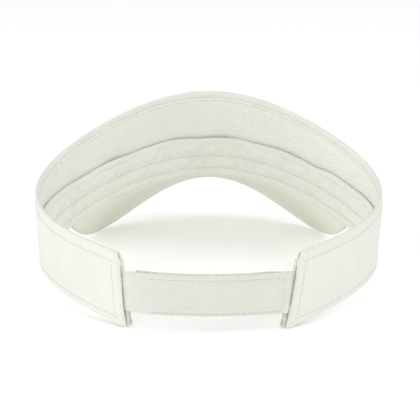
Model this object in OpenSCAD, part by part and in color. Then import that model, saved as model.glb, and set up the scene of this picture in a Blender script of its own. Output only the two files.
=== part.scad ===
// Adult sun visor: a crown band without a top, an arched bill, a padded sweatband and a
// hook-and-loop back strap.
// Frame: the origin is the centre of the head opening on the plane the visor rests on,
// +Y points along the bill, +X to the wearer's right when the bill points away, +Z up.
// The band wall is walked with three numbers: the angle around the head (0 at the front,
// positive towards +X), the depth inward from the outside face and the height up the wall.

/* [Head band] */
// Half of the band's width at its widest place
band_half_width = 88.6; // [82:0.5:96]
// Half of the length of the band's egg-shaped curve
band_half_length = 94; // [85:0.5:100]
// Distance of the curve's centre behind the origin
band_set_back = 4; // [0:0.5:15]
// Share by which the front half is fuller than the back half
band_egg = 0.22; // [0:0.01:0.3]
// Height of the wall at the front
front_height = 57.4; // [45:0.1:65]
// Height of the wall at its rear ends
end_height = 36.7; // [30:0.1:45]
// Dip of the top edge at the sides
side_dip = 3; // [0:0.1:6]
// Lean of the front wall towards the head
front_lean = 28; // [0:0.5:35]
// Outward flare of the side walls
side_flare = 3; // [0:0.1:8]
// Height of the lower edge above the table at the front
front_lift = 42.2; // [20:0.1:50]
// Height of the lower edge above the table at the sides
side_lift = 9; // [2:0.1:20]
// Angle around the head at which the band's lower edge ends
end_angle = 148.5; // [140:0.1:155]
// Degrees the rear end is cut back per millimetre of height
end_slant = 0.12; // [0:0.005:0.2]

/* [Fabric layers] */
// Thickness of one ply of twill
ply = 0.5; // [0.3:0.05:0.8]
// Space left between neighbouring layers
slack = 0.1; // [0.05:0.01:0.3]
// Height of the sweatband
sweatband_height = 27; // [20:0.5:35]
// Thickness of the sweatband's padding
padding = 1; // [0.5:0.1:2]
// Depth of the hem turned in along the top edge
hem = 9; // [6:0.5:14]
// Drop of the lining's edge below the top edge
lining_drop = 4; // [3:0.5:8]
// Width of a row of stitching
thread = 0.5; // [0.3:0.05:0.8]

/* [Bill] */
// Reach of the bill at its middle
bill_reach = 68.5; // [50:0.5:80]
// Downward slope of the bill at its middle
bill_slope = 14.8; // [5:0.1:30]
// Extra slope of the bill at its sides
bill_side_slope = 8.7; // [0:0.1:30]
// Angle around the head at which the bill's corners meet the band
bill_corner = 52.5; // [50:0.5:75]
// Turn of the bill's sides back towards the middle
bill_toe_in = 7.5; // [0:0.5:20]
// Thickness of the bill's board
board = 1.8; // [1.2:0.1:2.5]

/* [Back strap] */
// Width of the strap
strap_height = 20.6; // [15:0.5:30]
// Height of the strap's lower edge above the table
strap_base = 8.6; // [5:0.5:20]
// Thickness of the folded strap
strap_ply = 1.3; // [0.8:0.1:2]
// Thickness of the hook tape and of the loop tape
tape = 0.75; // [0.5:0.05:1.2]
// Space left for sliding between hook tape and loop tape
tape_gap = 0.7; // [0.5:0.05:1]
// Y of the temple flex lines and of the strap's centre of curvature
flex_y = 12; // [5:0.5:20]

/* [Hidden] */

IVORY = [0.93, 0.93, 0.88];
SHADE = [0.86, 0.86, 0.79];
THREAD = [0.97, 0.97, 0.93];
WHITE = [0.95, 0.95, 0.95];
BOARD = [0.80, 0.82, 0.84];

// Depths of the layers, from the outside face inward.
core_depth = ply + slack;
hem_depth = core_depth + ply + slack;
lining_depth = hem_depth + ply + slack;
sweatband_depth = lining_depth + ply + 2 * slack;
padding_depth = sweatband_depth + ply + slack;
face_depth = padding_depth + padding + slack;
band_depth = face_depth + ply;
// Over the bill the panel and lining start above the sweatband's lower edge, and the bill's root
// fills the step. Towards the arms they come down to it.
panel_start = 2.6;
// Height of the stitching along the arm's lower edge.
hem_row = 3.2;
// The arms are separated from the front by a narrow gap at the temple flex line.
flex_angle = acos((flex_y + band_set_back) / band_half_length);
flex_gap = 0.25;
front_steps = 60;
arm_steps = 16;
// Angle around the head of the seams where the strap ends swing.
strap_angle = end_angle - 0.2;
$fn = 96;

// Plan curve of the outside face at its lower edge.
function plan(a) = [
    band_half_width * sin(a) * (1 + band_egg * cos(a)),
    band_half_length * cos(a) - band_set_back
];
function unit(v) = v / norm(v);
function outward(a) = unit([
    band_half_length * sin(a),
    band_half_width * (cos(a) + band_egg * cos(2 * a))
]);
// Inward lean of the wall: full at the front, a slight flare at the sides.
function lean(a) = (cos(a) > 0 ? front_lean + side_flare : side_flare) * cos(a) * cos(a) - side_flare;
// Height of the band's lower edge above the table.
function lift(a) =
    (front_lift - side_lift) * pow((1 + cos(a)) / 2, 5.5)
    + side_lift * (1 - pow(abs(a) / end_angle, 4));
// Height of the wall.
function wall_height(a) =
    end_height + (front_height - end_height) * pow((1 + cos(180 * a / end_angle)) / 2, 1.33)
    - side_dip * pow(sin(a), 4);
function panel_low(a) = panel_start * max(0, min(1, (flex_angle - abs(a)) / 15));
// Angle by which the slanted rear end is cut back at a height.
function end_cut(a, h) = end_slant * h * max(0, (abs(a) - flex_angle) / (end_angle - flex_angle));
// Point of the band wall.
function wall(a, depth, h) =
    let (n = outward(a), t = lean(a), in = depth * cos(t) + h * sin(t))
    [
        plan(a).x - n.x * in,
        plan(a).y - n.y * in,
        lift(a) + h * cos(t) - depth * sin(t)
    ];
function arm_wall(a, depth, h) = wall(a - end_cut(a, h), depth, h);
function steps(from, to, count) = [for (i = [0:count]) from + (to - from) * i / count];

front_angles = steps(-flex_angle + flex_gap, flex_angle - flex_gap, front_steps);
arm_angles = steps(flex_angle + flex_gap, end_angle, arm_steps);

// Closed sheet through a list of rings. Each ring runs out along one side of the sheet and
// back along the other, so that the ends close with quadrilaterals.
module sheet(rings) {
    size = len(rings[0]);
    last = len(rings) - 1;
    half = size / 2;
    points = [for (ring = rings) each ring];
    end = last * size;
    sides = [
        for (i = [0:last - 1], j = [0:size - 1])
            let (k = (j + 1) % size)
            [i * size + j, i * size + k, (i + 1) * size + k, (i + 1) * size + j]
    ];
    first_cap = [for (j = [0:half - 2]) [size - 1 - j, size - 2 - j, j + 1, j]];
    last_cap = [for (j = [0:half - 2]) [end + j, end + j + 1, end + size - 2 - j, end + size - 1 - j]];
    // The diagonals run the same way on both faces, so that thin twisted sheets stay apart.
    triangles = [
        for (q = concat(sides, first_cap, last_cap))
            each points[q[1]].z > points[q[0]].z
                ? [[q[0], q[1], q[2]], [q[0], q[2], q[3]]]
                : [[q[0], q[1], q[3]], [q[1], q[2], q[3]]]
    ];
    polyhedron(points, triangles, convexity = 8);
}

// Sections of the layers: lists of [depth, height], out along one face and back along the other.
function flat_section(depth, thick, low, high) = stacked_section(depth, thick, [low, high]);
function stacked_section(depth, thick, rows) = [
    for (row = rows) [depth + thick, row],
    for (i = [len(rows) - 1:-1:0]) [depth, rows[i]]
];
// Heights shared by the layers of the wall: evenly spaced below the hem, then the edge stitching.
function panel_rows(a) = [
    each steps(panel_low(a), wall_height(a) - hem, 4),
    edge_row(a)
];
// The panel turns over the top edge and comes down inside as a hem.
function panel_section(a) =
    let (
        top = wall_height(a),
        in = hem_depth + ply,
        roll = in / 2,
        rows = panel_rows(a),
        last = len(rows) - 1
    )
    [
        [in, top - hem], [in, top - 1], [roll + 0.4, top - 0.1], [roll - 0.4, top - 0.1],
        [0, top - 1],
        for (i = [last:-1:0]) [0, rows[i]],
        for (row = rows) [ply, row],
        [ply, top - 1.2], [roll - 0.2, top - 0.1 - ply],
        [roll + 0.2, top - 0.1 - ply], [hem_depth, top - 1.2], [hem_depth, top - hem]
    ];
function lining_section(a) =
    stacked_section(lining_depth, ply, [each panel_rows(a), wall_height(a) - lining_drop]);
// The sweatband is a folded strip, closed at the top, with the padding inside.
sweatband_rows = [for (share = [0.2, 0.53, 0.88]) share * sweatband_height];
rows_down = [for (i = [len(sweatband_rows) - 1:-1:0]) sweatband_rows[i]];
sweatband_section = [
    [band_depth, 0],
    for (row = sweatband_rows) [band_depth, row],
    [band_depth, sweatband_height - 1], [band_depth - 0.7, sweatband_height],
    [sweatband_depth + 0.7, sweatband_height], [sweatband_depth, sweatband_height - 1],
    for (row = rows_down) [sweatband_depth, row],
    [sweatband_depth, 0],
    [sweatband_depth + ply, 0],
    for (row = sweatband_rows) [sweatband_depth + ply, row],
    [sweatband_depth + ply, sweatband_height - 1.1], [sweatband_depth + 0.9, sweatband_height - ply],
    [band_depth - 0.9, sweatband_height - ply], [face_depth, sweatband_height - 1.1],
    for (row = rows_down) [face_depth, row],
    [face_depth, 0]
];
padding_section = stacked_section(padding_depth, padding, [1, each sweatband_rows, sweatband_height - 2.5]);
function stiffener_section(a) =
    let (rows = panel_rows(a))
    stacked_section(core_depth, ply, [panel_start + 1, rows[1], rows[2], rows[3], rows[4] - 2]);
function row_section(depth, h) = flat_section(depth, thread / 2, h - thread / 2, h + thread / 2);

module front_layer(section) {
    sheet([for (a = front_angles) [for (p = section(a)) wall(a, p.x, p.y)]]);
}
module arm_layer(section) {
    sheet([for (a = arm_angles) [for (p = section(a)) arm_wall(a, p.x, p.y)]]);
}

module front_row(depth, height) {
    front_layer(function (a) row_section(depth, height(a)));
}
module arm_row(depth, height) {
    arm_layer(function (a) row_section(depth, height(a)));
}
// Rows of thread: one outside and one inside along the top edge.
outside_row = -slack / 2 - thread / 2;
lining_row = lining_depth + ply + slack / 2;
face_row = band_depth + slack / 2;
function edge_row(a) = wall_height(a) - lining_drop - 1.2;

module front_panel() color(IVORY) front_layer(function (a) panel_section(a));
module front_lining() color(IVORY) front_layer(function (a) lining_section(a));
module front_sweatband() color(IVORY) front_layer(function (a) sweatband_section);
module front_padding() color(WHITE) front_layer(function (a) padding_section);
module front_stiffener() color(WHITE) {
    angles = steps(-50, 50, 44);
    sheet([for (a = angles) [for (p = stiffener_section(a)) wall(a, p.x, p.y)]]);
}
module front_edge_stitching() color(THREAD) {
    front_row(outside_row, function (a) edge_row(a));
    front_row(lining_row, function (a) edge_row(a));
}
module front_sweatband_stitching() color(THREAD) {
    for (row = sweatband_rows)
        front_row(face_row, function (a) row);
}
module bill_seam_stitching() color(THREAD) {
    angles = steps(-bill_corner, bill_corner, 44);
    sheet([for (a = angles) [for (p = row_section(face_row, 1)) wall(a, p.x, p.y)]]);
}

module arm_panel() arm_layer(function (a) panel_section(a));
module arm_edge_stitching() {
    arm_row(outside_row, function (a) edge_row(a));
    arm_row(outside_row, function (a) hem_row);
    arm_row(lining_row, function (a) edge_row(a));
}
module arm_sweatband_stitching() {
    for (row = sweatband_rows)
        arm_row(face_row, function (a) row);
}
// Upright row that closes the folded end of the arm.
module arm_end_stitching() {
    a = end_angle - 2.2;
    top = wall_height(a) - lining_drop - 3;
    width = 0.35;
    sheet([
        for (angle = [a, a + width])
            [for (p = flat_section(outside_row, thread / 2, hem_row + 2, top)) arm_wall(angle, p.x, p.y)]
    ]);
}

module right_panel() color(IVORY) arm_panel();
module right_lining() color(IVORY) arm_layer(function (a) lining_section(a));
module right_sweatband() color(IVORY) arm_layer(function (a) sweatband_section);
module right_padding() color(WHITE) arm_layer(function (a) padding_section);
module right_edge_stitching() color(THREAD) arm_edge_stitching();
module right_sweatband_stitching() color(THREAD) arm_sweatband_stitching();
module right_end_stitching() color(THREAD) arm_end_stitching();
module left_panel() mirror([1, 0, 0]) right_panel();
module left_lining() mirror([1, 0, 0]) right_lining();
module left_sweatband() mirror([1, 0, 0]) right_sweatband();
module left_padding() mirror([1, 0, 0]) right_padding();
module left_edge_stitching() mirror([1, 0, 0]) right_edge_stitching();
module left_sweatband_stitching() mirror([1, 0, 0]) right_sweatband_stitching();
module left_end_stitching() mirror([1, 0, 0]) right_end_stitching();

// The bill is ruled: from each point of its root on the band's lower edge a straight line
// runs forward and down, longest in the middle and short at the corners.
bill_steps = 40;
board_rows = [0, 0.25, 0.5, 0.75, 0.95];
cover_rows = [each board_rows, 1];
cover_lift = board + 3 * slack + ply;
// Share of the spread at which the bill's covers end.
bill_end = 0.96;
function bill_spread(t) = sin(90 * t);
function bill_length(u) = bill_reach * pow(1 - pow(u, 4), 0.27);
function bill_surface(t, v) =
    let (
        u = bill_spread(t),
        root = wall(u * bill_corner, sweatband_depth - slack, 0),
        slope = bill_slope + bill_side_slope * (1 - pow(1 - u * u, 4)),
        turn = -bill_toe_in * u,
        reach = v * bill_length(u)
    )
    root + reach * [cos(slope) * sin(turn), cos(slope) * cos(turn), -sin(slope)];
function bill_normal(t, v) =
    let (
        e = 0.01,
        along = bill_surface(t + e, v) - bill_surface(t - e, v),
        across = bill_surface(t, v + e) - bill_surface(t, v - e)
    )
    unit(cross(along, across));
function bill_point(t, v, w) = bill_surface(t, v) + w * bill_normal(t, v);
// Share of the full thickness at a place on the bill: the covers meet around the free edge.
function bill_body(t, v) = max(0, min(1, (1 - v) * 20, (bill_end - abs(t)) * 22));

// Sheet of the bill between two distances above its underside, both given as functions. All
// sheets use the same stations, so that they stay parallel; inset leaves out some at each side.
module bill_sheet(inset, rows, low, high) {
    stations = steps(-bill_end, bill_end, bill_steps);
    back = [for (i = [len(rows) - 1:-1:0]) rows[i]];
    sheet([
        for (i = [inset:bill_steps - inset])
            let (t = stations[i])
            concat(
                [for (v = rows) bill_point(t, v, low(t, v))],
                [for (v = back) bill_point(t, v, high(t, v))]
            )
    ]);
}
function cover_base(t, v) = ply + slack + (cover_lift - ply - slack) * bill_body(t, v);
module bill_under_cover() color(SHADE)
    bill_sheet(0, cover_rows, function (t, v) 0, function (t, v) ply);
module bill_board() color(BOARD)
    bill_sheet(2, board_rows, function (t, v) ply + slack, function (t, v) ply + slack + board);
module bill_top_cover() color(IVORY)
    bill_sheet(0, cover_rows, function (t, v) cover_base(t, v), function (t, v) cover_base(t, v) + ply);

// The strap pieces curve around the point midway between the temple flex lines, so that
// they slide along each other when the arms swing.
strap_top = strap_base + strap_height;
seam = wall(strap_angle, core_depth + ply / 2, 0);
root_radius = norm([seam.x, seam.y - flex_y]);
root_turn = atan2(seam.x, flex_y - seam.y);
outer_radius = root_radius + 0.6;
hook_radius = outer_radius - strap_ply / 2 - slack / 2 - tape;
loop_radius = hook_radius - tape_gap - tape;
inner_radius = loop_radius - slack / 2 - strap_ply / 2;
// Half of the angle over which the straps run side by side.
hold_turn = 15;
function strap_point(radius, turn) = [radius * sin(turn), flex_y - radius * cos(turn)];

// Strap from its root to its free end. It leaves the root at the root's radius, settles on
// its own radius over the given angle and may rise over the other strap's root at its end.
module strap(radius, settle, free_turn, rise) {
    start = root_turn - 0.45;
    turns = steps(start, -free_turn, 28);
    function middle(turn) =
        radius
        + (root_radius - radius) * pow(max(0, 1 - (start - turn) / settle), 2)
        + rise * pow(max(0, (-turn - hold_turn) / (free_turn - hold_turn)), 2);
    outside = [for (turn = turns) strap_point(middle(turn) + strap_ply / 2, turn)];
    inside = [for (i = [len(turns) - 1:-1:0]) strap_point(middle(turns[i]) - strap_ply / 2, turns[i])];
    translate([0, 0, strap_base])
        linear_extrude(strap_height) polygon(concat(outside, inside));
}
module arc_bar(radius, thick, low, high, from, to) {
    translate([0, flex_y, 0])
        rotate([0, 0, from - 90])
            rotate_extrude(angle = to - from)
                translate([radius, low]) square([thick, high - low]);
}
module strap_root() {
    low = strap_base + 0.5;
    angles = steps(strap_angle - 12, strap_angle - 0.2, 6);
    sheet([
        for (a = angles)
            [for (p = flat_section(core_depth, ply, low - lift(a), low - lift(a) + strap_height - 1))
                wall(a, p.x, p.y)]
    ]);
}
// Stitching of a strap: a row along each long edge and one across its free end.
module strap_rows(radius, from, to, end_turn) {
    arc_bar(radius, thread / 2, strap_top - 1.9, strap_top - 1.9 + thread, from, to);
    arc_bar(radius, thread / 2, strap_base + 1.2, strap_base + 1.2 + thread, from, to);
    arc_bar(radius, thread / 2, strap_base + 2.2, strap_top - 2.4, end_turn, end_turn + 0.3);
}

module outer_strap_root() color(IVORY) mirror([1, 0, 0]) strap_root();
module outer_strap() color(IVORY) mirror([1, 0, 0]) strap(outer_radius, 4, 22.6, 1.5);
module outer_strap_stitching() color(THREAD)
    strap_rows(outer_radius + strap_ply / 2 + slack / 2, -16, hold_turn, hold_turn);
module hook_tape() color(WHITE)
    arc_bar(hook_radius, tape, strap_base + 2, strap_top - 2, 2 - hold_turn, hold_turn);
module inner_strap_root() color(IVORY) strap_root();
module inner_strap() color(IVORY) strap(inner_radius, 4.7, 21, 0);
module inner_strap_stitching() color(THREAD)
    strap_rows(inner_radius - strap_ply / 2 - slack / 2 - thread / 2, -20.4, hold_turn, -20);
module loop_tape() color(WHITE)
    arc_bar(loop_radius, tape, strap_base + 2, strap_top - 2, -18, hold_turn);

front_panel();
front_stiffener();
front_lining();
front_sweatband();
front_padding();
front_edge_stitching();
front_sweatband_stitching();
bill_seam_stitching();
bill_under_cover();
bill_board();
bill_top_cover();
left_panel();
left_lining();
left_sweatband();
left_padding();
left_edge_stitching();
left_sweatband_stitching();
left_end_stitching();
right_panel();
right_lining();
right_sweatband();
right_padding();
right_edge_stitching();
right_sweatband_stitching();
right_end_stitching();
outer_strap_root();
outer_strap();
outer_strap_stitching();
hook_tape();
inner_strap_root();
inner_strap();
inner_strap_stitching();
loop_tape();
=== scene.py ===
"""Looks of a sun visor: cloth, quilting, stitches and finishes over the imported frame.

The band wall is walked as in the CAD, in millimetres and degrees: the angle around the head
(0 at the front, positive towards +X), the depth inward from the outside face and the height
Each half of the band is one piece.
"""

import math

import bpy
import numpy as np
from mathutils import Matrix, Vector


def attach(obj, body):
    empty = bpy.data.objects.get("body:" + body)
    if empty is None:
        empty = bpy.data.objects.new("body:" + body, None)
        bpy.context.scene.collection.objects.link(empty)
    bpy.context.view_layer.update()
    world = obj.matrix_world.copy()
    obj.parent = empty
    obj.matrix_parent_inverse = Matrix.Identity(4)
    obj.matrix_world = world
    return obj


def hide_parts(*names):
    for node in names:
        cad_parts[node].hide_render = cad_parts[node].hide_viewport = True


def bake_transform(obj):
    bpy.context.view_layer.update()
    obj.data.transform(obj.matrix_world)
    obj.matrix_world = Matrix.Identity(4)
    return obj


MM = 0.001

# Head band, as in the CAD.
BAND_HALF_WIDTH = 88.6
BAND_HALF_LENGTH = 94.0
BAND_SET_BACK = 4.0
BAND_EGG = 0.22
FRONT_HEIGHT = 57.4
END_HEIGHT = 36.7
SIDE_DIP = 3.0
FRONT_LEAN = 28.0
SIDE_FLARE = 3.0
FRONT_LIFT = 42.2
SIDE_LIFT = 9.0
END_ANGLE = 148.5
END_SLANT = 0.12
FLEX_Y = 12.0
FLEX_ANGLE = math.degrees(math.acos((FLEX_Y + BAND_SET_BACK) / BAND_HALF_LENGTH))

# Layers, as in the CAD: depth of each one's outer side.
PLY = 0.5
SLACK = 0.1
PADDING = 1.0
CORE_DEPTH = PLY + SLACK
HEM_DEPTH = CORE_DEPTH + PLY + SLACK
LINING_DEPTH = HEM_DEPTH + PLY + SLACK
SWEATBAND_DEPTH = LINING_DEPTH + PLY + 2 * SLACK
PADDING_DEPTH = SWEATBAND_DEPTH + PLY + SLACK
FACE_DEPTH = PADDING_DEPTH + PADDING + SLACK
BAND_DEPTH = FACE_DEPTH + PLY
PANEL_START = 2.6
BILL_CORNER = 52.5
HEM = 9.0
LINING_DROP = 4.0
EDGE_ROW_DROP = LINING_DROP + 1.2
SWEATBAND_HEIGHT = 27.0
SWEATBAND_ROWS = [0.2 * SWEATBAND_HEIGHT, 0.53 * SWEATBAND_HEIGHT, 0.88 * SWEATBAND_HEIGHT]
HEM_ROW = 3.2

# Bill, as in the CAD.
BILL_REACH = 68.5
BILL_SLOPE = 14.8
BILL_SIDE_SLOPE = 8.7
BILL_TOE_IN = 7.5
BILL_END = 0.96
BILL_HALF_WIDTH = 70.0
BOARD = 1.8
COVER_LIFT = BOARD + 3 * SLACK + PLY

# Back strap, as in the CAD.
STRAP_HEIGHT = 20.6
STRAP_BASE = 8.6
STRAP_PLY = 1.3
TAPE = 0.75
TAPE_GAP = 0.7
STRAP_ANGLE = END_ANGLE - 0.2
STRAP_TOP = STRAP_BASE + STRAP_HEIGHT
HOLD_TURN = 15.0
# Degrees by which the straps' free ends slant back towards their lower corner.
END_LEAN = 0.9

# Drape of the cloth at the rear ends: degrees by which each arm stops short of the pattern,
# at its bottom and at its top, and by how much more its outside ply does.
END_SHORT = {-1: (2.3, 0.2), 1: (0.0, 0.9)}
OUTER_SHORT = 0.6
CORNER_SHORT = 1.0

# Sewing.
STITCH_PITCH = 2.7
STITCH_LENGTH = 2.3
THREAD_RADIUS = 0.2
END_ROW = 5.6

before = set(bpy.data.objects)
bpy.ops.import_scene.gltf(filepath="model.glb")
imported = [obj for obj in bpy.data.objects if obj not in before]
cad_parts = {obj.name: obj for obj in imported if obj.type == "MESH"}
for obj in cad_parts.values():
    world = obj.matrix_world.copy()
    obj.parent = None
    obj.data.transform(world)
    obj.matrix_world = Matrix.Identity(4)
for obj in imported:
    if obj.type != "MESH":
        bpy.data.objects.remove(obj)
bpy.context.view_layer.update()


# ---------------------------------------------------------------- shape of the band


def sin(degrees):
    return np.sin(np.radians(degrees))


def cos(degrees):
    return np.cos(np.radians(degrees))


def smooth(value, low, high):
    """0 below low, 1 above high and a smooth step between."""
    share = np.clip((value - low) / (high - low), 0, 1)
    return share * share * (3 - 2 * share)


def hump(value, centre, width):
    """1 at the centre, falling smoothly to 0 at the given distance from it."""
    return 1 - smooth(np.abs(value - centre), 0, width)


def unevenness(x, y, size, seed):
    """Gentle repeatable waves between about -1 and 1, with humps of about the given size."""
    chance = np.random.default_rng(seed)
    total = 0
    for turn, phase, stretch in chance.uniform([0, 0, 0.6], [2 * np.pi, 2 * np.pi, 1.5], (7, 3)):
        along = x * np.cos(turn) + y * np.sin(turn)
        total = total + np.sin(np.pi * stretch * along / size + phase)
    return total / 3.5


def outward(a):
    x = BAND_HALF_LENGTH * sin(a)
    y = BAND_HALF_WIDTH * (cos(a) + BAND_EGG * cos(2 * a))
    size = np.hypot(x, y)
    return x / size, y / size


def lean(a):
    front = np.where(cos(a) > 0, FRONT_LEAN + SIDE_FLARE, SIDE_FLARE)
    return front * cos(a) ** 2 - SIDE_FLARE


def lift(a):
    front = (FRONT_LIFT - SIDE_LIFT) * ((1 + cos(a)) / 2) ** 5.5
    return front + SIDE_LIFT * (1 - np.abs(a / END_ANGLE) ** 4)


def wall_height(a):
    rise = ((1 + cos(180 * a / END_ANGLE)) / 2) ** 1.33
    return END_HEIGHT + (FRONT_HEIGHT - END_HEIGHT) * rise - SIDE_DIP * sin(a) ** 4


def wall(a, depth, height):
    """Points of the band wall, cut back towards the slanted rear ends."""
    past_flex = np.maximum(0, (np.abs(a) - FLEX_ANGLE) / (END_ANGLE - FLEX_ANGLE))
    a = a - np.sign(a) * END_SLANT * height * past_flex
    nx, ny = outward(a)
    inward = depth * cos(lean(a)) + height * sin(lean(a))
    x = BAND_HALF_WIDTH * sin(a) * (1 + BAND_EGG * cos(a)) - nx * inward
    y = BAND_HALF_LENGTH * cos(a) - BAND_SET_BACK - ny * inward
    z = lift(a) + height * cos(lean(a)) - depth * sin(lean(a))
    return np.stack(np.broadcast_arrays(x, y, z), axis=-1)


def panel_low(a):
    """Height at which the panel and the lining start: above the bill's root, and 0 on the arms."""
    return PANEL_START * np.clip((FLEX_ANGLE - a) / 15, 0, 1)


def side_wall(a, depth, height, side):
    """Point of the wall on the right half, as the cloth of the given side lies."""
    low, high = END_SHORT[side]
    short = low + (high - low) * height / END_HEIGHT
    short = short + OUTER_SHORT * (1 - smooth(depth, 0.4, 1.4))
    top = wall_height(a)
    short = short + CORNER_SHORT * smooth(height, top - 5, top)
    return wall(a - short * smooth(a, FLEX_ANGLE, END_ANGLE), depth, height)


FINE_ANGLES = np.linspace(0, END_ANGLE, 600)
FINE_STEPS = np.linalg.norm(np.diff(wall(FINE_ANGLES, 0, 0), axis=0), axis=1)
FINE_LENGTHS = np.concatenate([[0], np.cumsum(FINE_STEPS)])
HALF_LENGTH = FINE_LENGTHS[-1]


def angle_at(length):
    """Size of the angle around the head at a length along the band from its front."""
    return np.interp(np.abs(length), FINE_LENGTHS, FINE_ANGLES)


def length_at(angle):
    return np.interp(angle, FINE_ANGLES, FINE_LENGTHS)


# ---------------------------------------------------------------- meshes


def make_mesh(name, points, faces, cloth, material):
    """Smooth mesh object from points in millimetres. cloth holds each point's place in the weave."""
    mesh = bpy.data.meshes.new(name)
    mesh.from_pydata((points * MM).tolist(), [], faces)
    place = mesh.attributes.new("cloth", "FLOAT_VECTOR", "POINT")
    place.data.foreach_set("vector", cloth.astype(np.float32).ravel())
    mesh.polygons.foreach_set("use_smooth", [True] * len(mesh.polygons))
    mesh.set_sharp_from_angle(angle=math.radians(60))
    mesh.materials.append(material)
    made = bpy.data.objects.new(name, mesh)
    bpy.context.scene.collection.objects.link(made)
    return made


def tube_faces(rings, size):
    """Faces of a tube of closed rings. Each ring goes out and back, so its ends close with quads."""
    faces = []
    for i in range(rings - 1):
        for j in range(size):
            k = (j + 1) % size
            faces.append((i * size + j, i * size + k, (i + 1) * size + k, (i + 1) * size + j))
    end = (rings - 1) * size
    for j in range(size // 2 - 1):
        faces.append((size - 1 - j, size - 2 - j, j + 1, j))
        faces.append((end + j, end + j + 1, end + size - 2 - j, end + size - 1 - j))
    return faces


def thicken(middle, thickness):
    """Closed loops around middle lines (stations, points, 2), rounded at both ends of each line."""
    step = np.gradient(middle, axis=1)
    step = step / np.linalg.norm(step, axis=2, keepdims=True)
    side = np.stack([step[..., 1], -step[..., 0]], axis=-1)
    share = np.ones(middle.shape[1])
    share[[0, -1]] = 0.45
    share[[1, -2]] = 0.85
    offset = side * share[None, :, None] * np.reshape(thickness, (-1, 1, 1)) / 2
    return np.concatenate([middle + offset, (middle - offset)[:, ::-1]], axis=1)


def line_lengths(middle):
    """Running length along each middle line, and the same on the way back."""
    step = np.linalg.norm(np.diff(middle, axis=1), axis=2)
    run = np.concatenate([np.zeros((len(middle), 1)), np.cumsum(step, axis=1)], axis=1)
    return np.concatenate([run, run[:, ::-1]], axis=1)


def mirror(points, faces, side):
    """The left half is the mirror image of the right half, with its faces turned round."""
    if side > 0:
        return points, faces
    return points * [-1, 1, 1], [face[::-1] for face in faces]


SIDES = {"left": -1, "right": 1}
BAND_STATIONS = 210


def side_name(side):
    return "right" if side > 0 else "left"


def band_piece(name, side, lengths, middle, thickness, material):
    """One layer of half the band, from middle lines of (depth, height) at lengths along the band."""
    loops = thicken(middle, thickness)
    angles = angle_at(lengths)[:, None]
    points = side_wall(angles, loops[..., 0], loops[..., 1], side)
    run = line_lengths(middle)
    cloth = np.stack([side * np.broadcast_to(lengths[:, None], run.shape), run, 0 * run], axis=-1)
    faces = tube_faces(len(lengths), loops.shape[1])
    points, faces = mirror(points.reshape(-1, 3), faces, side)
    return make_mesh(name, points, faces, cloth.reshape(-1, 3), material)


def stack_line(depths, heights):
    """Middle lines (stations, points, 2) from matching arrays of depth and height."""
    depths, heights = np.broadcast_arrays(depths, heights)
    return np.stack([depths, heights], axis=-1)


def fold(low_depth, high_depth, top, count=7):
    """Half circle over an edge, from one depth to another, as rows of depth and height."""
    radius = (high_depth - low_depth) / 2
    turn = np.linspace(0, 180, count)[None, :]
    return low_depth + radius - radius * cos(turn), top - radius + radius * sin(turn)


# ---------------------------------------------------------------- places in the frame


def stand_in(piece, slot, body, *nodes):
    """Lets a piece stand for CAD nodes, which it hides, and move with one body; slot is not used."""
    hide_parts(*nodes)
    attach(piece, body)


def over_temple(piece, side, part):
    """Lets a piece stand for a part of the band, front and one side, whose CAD nodes it hides."""
    word = side_name(side)
    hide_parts(f"front_{part}", f"{word}_{part}")
    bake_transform(piece)


# ---------------------------------------------------------------- stitches


def stitch_row(name, path, normal):
    """Row of separate stitches along a path, each one dipping into the cloth at both ends."""
    steps = np.linalg.norm(np.diff(path, axis=0), axis=1)
    run = np.concatenate([[0], np.cumsum(steps)])
    count = int(run[-1] / STITCH_PITCH)
    centres = (np.arange(count) + 0.5) * run[-1] / count
    along = np.array([-0.5, -0.42, -0.2, 0.2, 0.42, 0.5]) * STITCH_LENGTH
    sink = np.array([-0.6, 0.0, 0.3, 0.3, 0.0, -0.6]) * THREAD_RADIUS
    width = np.array([0.35, 0.85, 1, 1, 0.85, 0.35]) * THREAD_RADIUS
    at = centres[:, None] + along[None, :]
    spine = np.stack([np.interp(at, run, path[:, i]) for i in range(3)], axis=-1)
    up = np.stack([np.interp(at, run, normal[:, i]) for i in range(3)], axis=-1)
    up = up / np.linalg.norm(up, axis=-1, keepdims=True)
    forward = np.gradient(spine, axis=1)
    forward = forward / np.linalg.norm(forward, axis=-1, keepdims=True)
    across = np.cross(forward, up)
    spine = spine + up * sink[None, :, None]
    sides = 8
    turns = np.arange(sides) * 360 / sides
    ring = up[:, :, None] * cos(turns)[None, None, :, None]
    ring = ring + across[:, :, None] * sin(turns)[None, None, :, None]
    points = spine[:, :, None] + ring * width[None, :, None, None]
    rings = len(along)
    one = tube_faces(rings, sides)
    faces = [tuple(v + i * rings * sides for v in face) for i in range(count) for face in one]
    lengths = np.broadcast_to(at[:, :, None], points.shape[:3])
    around = np.broadcast_to(turns[None, None, :] / 360, points.shape[:3])
    # 0 in the middle of each stitch and 1 at its needle holes, where the yarn gets painted shade.
    to_needle = np.broadcast_to(np.abs(along)[None, :, None] * 2 / STITCH_LENGTH, points.shape[:3])
    cloth = np.stack([lengths, around, to_needle], axis=-1)
    return make_mesh(name, points.reshape(-1, 3), faces, cloth.reshape(-1, 3), THREAD)


def band_row(name, side, from_angle, to_angle, depth, height, outside=False):
    """Row of stitches along the band; depth and height are functions of the length along it."""
    lengths = side * np.linspace(length_at(from_angle), length_at(to_angle), 400)
    angles = angle_at(lengths)
    path = side_wall(angles, depth(lengths), height(lengths), side)
    inside = wall(angles, depth(lengths) + 1, height(lengths))
    normal = inside - wall(angles, depth(lengths), height(lengths))
    if outside:
        normal = -normal
    path = path * [side, 1, 1]
    normal = normal * [side, 1, 1]
    return stitch_row(name, path, normal)


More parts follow.
